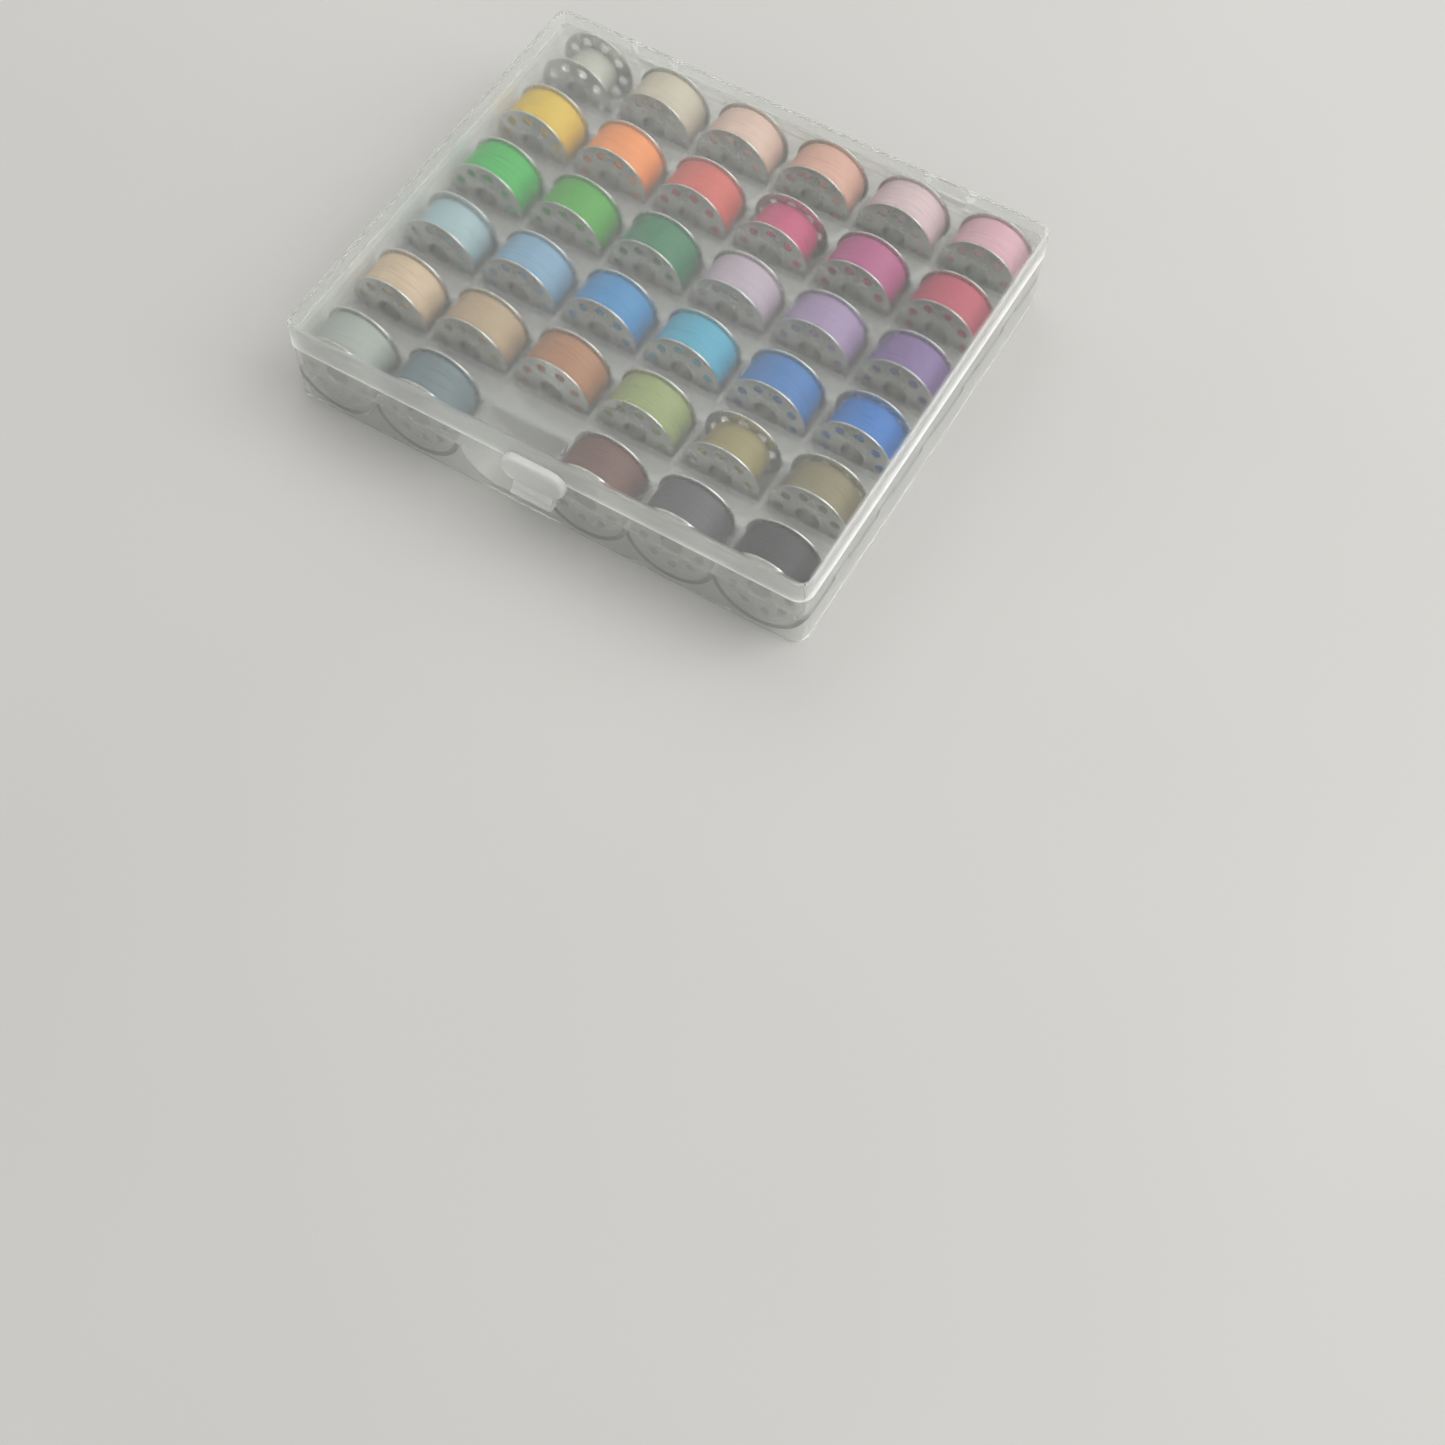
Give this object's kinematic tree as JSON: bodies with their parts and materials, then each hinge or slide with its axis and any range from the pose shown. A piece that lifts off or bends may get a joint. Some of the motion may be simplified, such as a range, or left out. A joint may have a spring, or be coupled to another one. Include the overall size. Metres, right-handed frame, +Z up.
{
  "type": "bobbin box",
  "caption": "Flat hinged frosted plastic case holding rows of wound steel sewing bobbins upright in half-round cradles, with a snap latch at the front.",
  "frame": {"origin": "middle of the footprint, on the table", "axes": "+X along the front edge to the right, +Y from the latch to the hinges, +Z up"},
  "size_m": [0.14, 0.1272, 0.025],
  "materials": {
    "frosted_plastic": "milky see-through polypropylene, smooth outside with a faint haze",
    "thread_r1_c1": "sewing thread wound close on a bright pressed steel bobbin",
    "thread_r1_c2": "sewing thread wound close on a bright pressed steel bobbin",
    "thread_r1_c3": "sewing thread wound close on a bright pressed steel bobbin",
    "thread_r1_c4": "sewing thread wound close on a bright pressed steel bobbin",
    "thread_r1_c5": "sewing thread wound close on a bright pressed steel bobbin",
    "thread_r1_c6": "sewing thread wound close on a bright pressed steel bobbin",
    "thread_r2_c1": "sewing thread wound close on a bright pressed steel bobbin",
    "thread_r2_c2": "sewing thread wound close on a bright pressed steel bobbin",
    "thread_r2_c3": "sewing thread wound close on a bright pressed steel bobbin",
    "thread_r2_c4": "sewing thread wound close on a bright pressed steel bobbin",
    "thread_r2_c5": "sewing thread wound close on a bright pressed steel bobbin",
    "thread_r2_c6": "sewing thread wound close on a bright pressed steel bobbin",
    "thread_r3_c1": "sewing thread wound close on a bright pressed steel bobbin",
    "thread_r3_c2": "sewing thread wound close on a bright pressed steel bobbin",
    "thread_r3_c3": "sewing thread wound close on a bright pressed steel bobbin",
    "thread_r3_c4": "sewing thread wound close on a bright pressed steel bobbin",
    "thread_r3_c5": "sewing thread wound close on a bright pressed steel bobbin",
    "thread_r3_c6": "sewing thread wound close on a bright pressed steel bobbin",
    "thread_r4_c1": "sewing thread wound close on a bright pressed steel bobbin",
    "thread_r4_c2": "sewing thread wound close on a bright pressed steel bobbin",
    "thread_r4_c3": "sewing thread wound close on a bright pressed steel bobbin",
    "thread_r4_c4": "sewing thread wound close on a bright pressed steel bobbin",
    "thread_r4_c5": "sewing thread wound close on a bright pressed steel bobbin",
    "thread_r4_c6": "sewing thread wound close on a bright pressed steel bobbin",
    "thread_r5_c1": "sewing thread wound close on a bright pressed steel bobbin",
    "thread_r5_c2": "sewing thread wound close on a bright pressed steel bobbin",
    "thread_r5_c3": "sewing thread wound close on a bright pressed steel bobbin",
    "thread_r5_c4": "sewing thread wound close on a bright pressed steel bobbin",
    "thread_r5_c5": "sewing thread wound close on a bright pressed steel bobbin",
    "thread_r5_c6": "sewing thread wound close on a bright pressed steel bobbin",
    "thread_r6_c1": "sewing thread wound close on a bright pressed steel bobbin",
    "thread_r6_c2": "sewing thread wound close on a bright pressed steel bobbin",
    "thread_r6_c4": "sewing thread wound close on a bright pressed steel bobbin",
    "thread_r6_c5": "sewing thread wound close on a bright pressed steel bobbin",
    "thread_r6_c6": "sewing thread wound close on a bright pressed steel bobbin"
  },
  "bodies": {
    "tray": {"base_tray": "frosted_plastic"},
    "lid": {"lid": "frosted_plastic"},
    "latch": {"front_latch": "frosted_plastic"},
    "bobbin_body_r1_c1": {"bobbin_r1_c1": "thread_r1_c1"},
    "bobbin_body_r1_c2": {"bobbin_r1_c2": "thread_r1_c2"},
    "bobbin_body_r1_c3": {"bobbin_r1_c3": "thread_r1_c3"},
    "bobbin_body_r1_c4": {"bobbin_r1_c4": "thread_r1_c4"},
    "bobbin_body_r1_c5": {"bobbin_r1_c5": "thread_r1_c5"},
    "bobbin_body_r1_c6": {"bobbin_r1_c6": "thread_r1_c6"},
    "bobbin_body_r2_c1": {"bobbin_r2_c1": "thread_r2_c1"},
    "bobbin_body_r2_c2": {"bobbin_r2_c2": "thread_r2_c2"},
    "bobbin_body_r2_c3": {"bobbin_r2_c3": "thread_r2_c3"},
    "bobbin_body_r2_c4": {"bobbin_r2_c4": "thread_r2_c4"},
    "bobbin_body_r2_c5": {"bobbin_r2_c5": "thread_r2_c5"},
    "bobbin_body_r2_c6": {"bobbin_r2_c6": "thread_r2_c6"},
    "bobbin_body_r3_c1": {"bobbin_r3_c1": "thread_r3_c1"},
    "bobbin_body_r3_c2": {"bobbin_r3_c2": "thread_r3_c2"},
    "bobbin_body_r3_c3": {"bobbin_r3_c3": "thread_r3_c3"},
    "bobbin_body_r3_c4": {"bobbin_r3_c4": "thread_r3_c4"},
    "bobbin_body_r3_c5": {"bobbin_r3_c5": "thread_r3_c5"},
    "bobbin_body_r3_c6": {"bobbin_r3_c6": "thread_r3_c6"},
    "bobbin_body_r4_c1": {"bobbin_r4_c1": "thread_r4_c1"},
    "bobbin_body_r4_c2": {"bobbin_r4_c2": "thread_r4_c2"},
    "bobbin_body_r4_c3": {"bobbin_r4_c3": "thread_r4_c3"},
    "bobbin_body_r4_c4": {"bobbin_r4_c4": "thread_r4_c4"},
    "bobbin_body_r4_c5": {"bobbin_r4_c5": "thread_r4_c5"},
    "bobbin_body_r4_c6": {"bobbin_r4_c6": "thread_r4_c6"},
    "bobbin_body_r5_c1": {"bobbin_r5_c1": "thread_r5_c1"},
    "bobbin_body_r5_c2": {"bobbin_r5_c2": "thread_r5_c2"},
    "bobbin_body_r5_c3": {"bobbin_r5_c3": "thread_r5_c3"},
    "bobbin_body_r5_c4": {"bobbin_r5_c4": "thread_r5_c4"},
    "bobbin_body_r5_c5": {"bobbin_r5_c5": "thread_r5_c5"},
    "bobbin_body_r5_c6": {"bobbin_r5_c6": "thread_r5_c6"},
    "bobbin_body_r6_c1": {"bobbin_r6_c1": "thread_r6_c1"},
    "bobbin_body_r6_c2": {"bobbin_r6_c2": "thread_r6_c2"},
    "bobbin_body_r6_c4": {"bobbin_r6_c4": "thread_r6_c4"},
    "bobbin_body_r6_c5": {"bobbin_r6_c5": "thread_r6_c5"},
    "bobbin_body_r6_c6": {"bobbin_r6_c6": "thread_r6_c6"}
  },
  "joints": [
    {"name": "lid_hinge", "type": "hinge", "parent": "tray", "child": "lid", "pos_m": [0, 0.0619, 0.0175], "axis": [-1, 0, 0], "range_deg": [0, 180]},
    {"name": "latch_flex", "type": "hinge", "parent": "lid", "child": "latch", "pos_m": [0, -0.0612, 0.0202], "axis": [-1, 0, 0], "range_deg": [0, 12], "stiffness_Nm_per_rad": 0.03},
    {"name": "spin_r1_c1", "type": "hinge", "parent": "tray", "child": "bobbin_body_r1_c1", "pos_m": [-0.05725, 0.0519, 0.0125], "axis": [0, 1, 0], "continuous": true},
    {"name": "spin_r1_c2", "type": "hinge", "parent": "tray", "child": "bobbin_body_r1_c2", "pos_m": [-0.03435, 0.0519, 0.0125], "axis": [0, 1, 0], "continuous": true},
    {"name": "spin_r1_c3", "type": "hinge", "parent": "tray", "child": "bobbin_body_r1_c3", "pos_m": [-0.01145, 0.0519, 0.0125], "axis": [0, 1, 0], "continuous": true},
    {"name": "spin_r1_c4", "type": "hinge", "parent": "tray", "child": "bobbin_body_r1_c4", "pos_m": [0.01145, 0.0519, 0.0125], "axis": [0, 1, 0], "continuous": true},
    {"name": "spin_r1_c5", "type": "hinge", "parent": "tray", "child": "bobbin_body_r1_c5", "pos_m": [0.03435, 0.0519, 0.0125], "axis": [0, 1, 0], "continuous": true},
    {"name": "spin_r1_c6", "type": "hinge", "parent": "tray", "child": "bobbin_body_r1_c6", "pos_m": [0.05725, 0.0519, 0.0125], "axis": [0, 1, 0], "continuous": true},
    {"name": "spin_r2_c1", "type": "hinge", "parent": "tray", "child": "bobbin_body_r2_c1", "pos_m": [-0.05725, 0.03114, 0.0125], "axis": [0, 1, 0], "continuous": true},
    {"name": "spin_r2_c2", "type": "hinge", "parent": "tray", "child": "bobbin_body_r2_c2", "pos_m": [-0.03435, 0.03114, 0.0125], "axis": [0, 1, 0], "continuous": true},
    {"name": "spin_r2_c3", "type": "hinge", "parent": "tray", "child": "bobbin_body_r2_c3", "pos_m": [-0.01145, 0.03114, 0.0125], "axis": [0, 1, 0], "continuous": true},
    {"name": "spin_r2_c4", "type": "hinge", "parent": "tray", "child": "bobbin_body_r2_c4", "pos_m": [0.01145, 0.03114, 0.0125], "axis": [0, 1, 0], "continuous": true},
    {"name": "spin_r2_c5", "type": "hinge", "parent": "tray", "child": "bobbin_body_r2_c5", "pos_m": [0.03435, 0.03114, 0.0125], "axis": [0, 1, 0], "continuous": true},
    {"name": "spin_r2_c6", "type": "hinge", "parent": "tray", "child": "bobbin_body_r2_c6", "pos_m": [0.05725, 0.03114, 0.0125], "axis": [0, 1, 0], "continuous": true},
    {"name": "spin_r3_c1", "type": "hinge", "parent": "tray", "child": "bobbin_body_r3_c1", "pos_m": [-0.05725, 0.01038, 0.0125], "axis": [0, 1, 0], "continuous": true},
    {"name": "spin_r3_c2", "type": "hinge", "parent": "tray", "child": "bobbin_body_r3_c2", "pos_m": [-0.03435, 0.01038, 0.0125], "axis": [0, 1, 0], "continuous": true},
    {"name": "spin_r3_c3", "type": "hinge", "parent": "tray", "child": "bobbin_body_r3_c3", "pos_m": [-0.01145, 0.01038, 0.0125], "axis": [0, 1, 0], "continuous": true},
    {"name": "spin_r3_c4", "type": "hinge", "parent": "tray", "child": "bobbin_body_r3_c4", "pos_m": [0.01145, 0.01038, 0.0125], "axis": [0, 1, 0], "continuous": true},
    {"name": "spin_r3_c5", "type": "hinge", "parent": "tray", "child": "bobbin_body_r3_c5", "pos_m": [0.03435, 0.01038, 0.0125], "axis": [0, 1, 0], "continuous": true},
    {"name": "spin_r3_c6", "type": "hinge", "parent": "tray", "child": "bobbin_body_r3_c6", "pos_m": [0.05725, 0.01038, 0.0125], "axis": [0, 1, 0], "continuous": true},
    {"name": "spin_r4_c1", "type": "hinge", "parent": "tray", "child": "bobbin_body_r4_c1", "pos_m": [-0.05725, -0.01038, 0.0125], "axis": [0, 1, 0], "continuous": true},
    {"name": "spin_r4_c2", "type": "hinge", "parent": "tray", "child": "bobbin_body_r4_c2", "pos_m": [-0.03435, -0.01038, 0.0125], "axis": [0, 1, 0], "continuous": true},
    {"name": "spin_r4_c3", "type": "hinge", "parent": "tray", "child": "bobbin_body_r4_c3", "pos_m": [-0.01145, -0.01038, 0.0125], "axis": [0, 1, 0], "continuous": true},
    {"name": "spin_r4_c4", "type": "hinge", "parent": "tray", "child": "bobbin_body_r4_c4", "pos_m": [0.01145, -0.01038, 0.0125], "axis": [0, 1, 0], "continuous": true},
    {"name": "spin_r4_c5", "type": "hinge", "parent": "tray", "child": "bobbin_body_r4_c5", "pos_m": [0.03435, -0.01038, 0.0125], "axis": [0, 1, 0], "continuous": true},
    {"name": "spin_r4_c6", "type": "hinge", "parent": "tray", "child": "bobbin_body_r4_c6", "pos_m": [0.05725, -0.01038, 0.0125], "axis": [0, 1, 0], "continuous": true},
    {"name": "spin_r5_c1", "type": "hinge", "parent": "tray", "child": "bobbin_body_r5_c1", "pos_m": [-0.05725, -0.03114, 0.0125], "axis": [0, 1, 0], "continuous": true},
    {"name": "spin_r5_c2", "type": "hinge", "parent": "tray", "child": "bobbin_body_r5_c2", "pos_m": [-0.03435, -0.03114, 0.0125], "axis": [0, 1, 0], "continuous": true},
    {"name": "spin_r5_c3", "type": "hinge", "parent": "tray", "child": "bobbin_body_r5_c3", "pos_m": [-0.01145, -0.03114, 0.0125], "axis": [0, 1, 0], "continuous": true},
    {"name": "spin_r5_c4", "type": "hinge", "parent": "tray", "child": "bobbin_body_r5_c4", "pos_m": [0.01145, -0.03114, 0.0125], "axis": [0, 1, 0], "continuous": true},
    {"name": "spin_r5_c5", "type": "hinge", "parent": "tray", "child": "bobbin_body_r5_c5", "pos_m": [0.03435, -0.03114, 0.0125], "axis": [0, 1, 0], "continuous": true},
    {"name": "spin_r5_c6", "type": "hinge", "parent": "tray", "child": "bobbin_body_r5_c6", "pos_m": [0.05725, -0.03114, 0.0125], "axis": [0, 1, 0], "continuous": true},
    {"name": "spin_r6_c1", "type": "hinge", "parent": "tray", "child": "bobbin_body_r6_c1", "pos_m": [-0.05725, -0.0519, 0.0125], "axis": [0, 1, 0], "continuous": true},
    {"name": "spin_r6_c2", "type": "hinge", "parent": "tray", "child": "bobbin_body_r6_c2", "pos_m": [-0.03435, -0.0519, 0.0125], "axis": [0, 1, 0], "continuous": true},
    {"name": "spin_r6_c4", "type": "hinge", "parent": "tray", "child": "bobbin_body_r6_c4", "pos_m": [0.01145, -0.0519, 0.0125], "axis": [0, 1, 0], "continuous": true},
    {"name": "spin_r6_c5", "type": "hinge", "parent": "tray", "child": "bobbin_body_r6_c5", "pos_m": [0.03435, -0.0519, 0.0125], "axis": [0, 1, 0], "continuous": true},
    {"name": "spin_r6_c6", "type": "hinge", "parent": "tray", "child": "bobbin_body_r6_c6", "pos_m": [0.05725, -0.0519, 0.0125], "axis": [0, 1, 0], "continuous": true}
  ]
}
